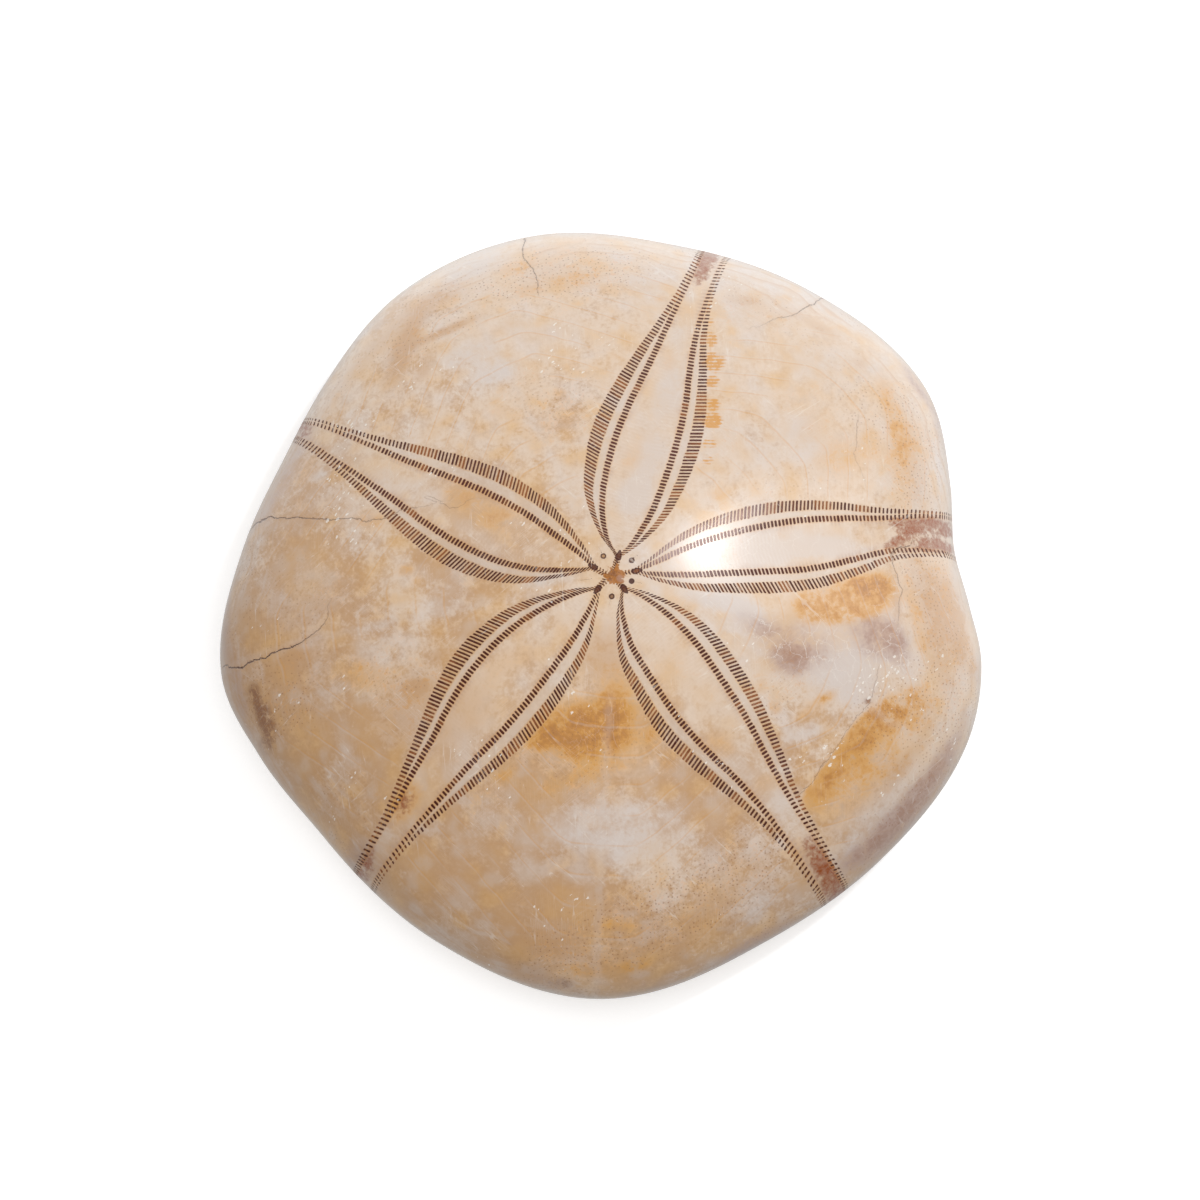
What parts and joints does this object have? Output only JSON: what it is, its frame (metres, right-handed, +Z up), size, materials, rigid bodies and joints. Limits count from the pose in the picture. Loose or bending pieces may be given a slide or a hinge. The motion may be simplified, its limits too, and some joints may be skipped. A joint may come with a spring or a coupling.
{
  "type": "fossil sand dollar",
  "caption": "Polished fossil sand dollar: a low domed, rounded five-sided shell with a five-petal pore star on top and a lobed mouth pit under it.",
  "frame": {"origin": "middle of the plan, on the plane that the fossil rests on", "axes": "+Z up through the dome, +X towards the animal's front (the notch in the edge), +Y towards its left side"},
  "size_m": [0.0892, 0.0926, 0.028],
  "materials": {
    "polished_stone": "polished"
  },
  "bodies": {
    "root": {"sand_dollar": "polished_stone"}
  },
  "joints": []
}
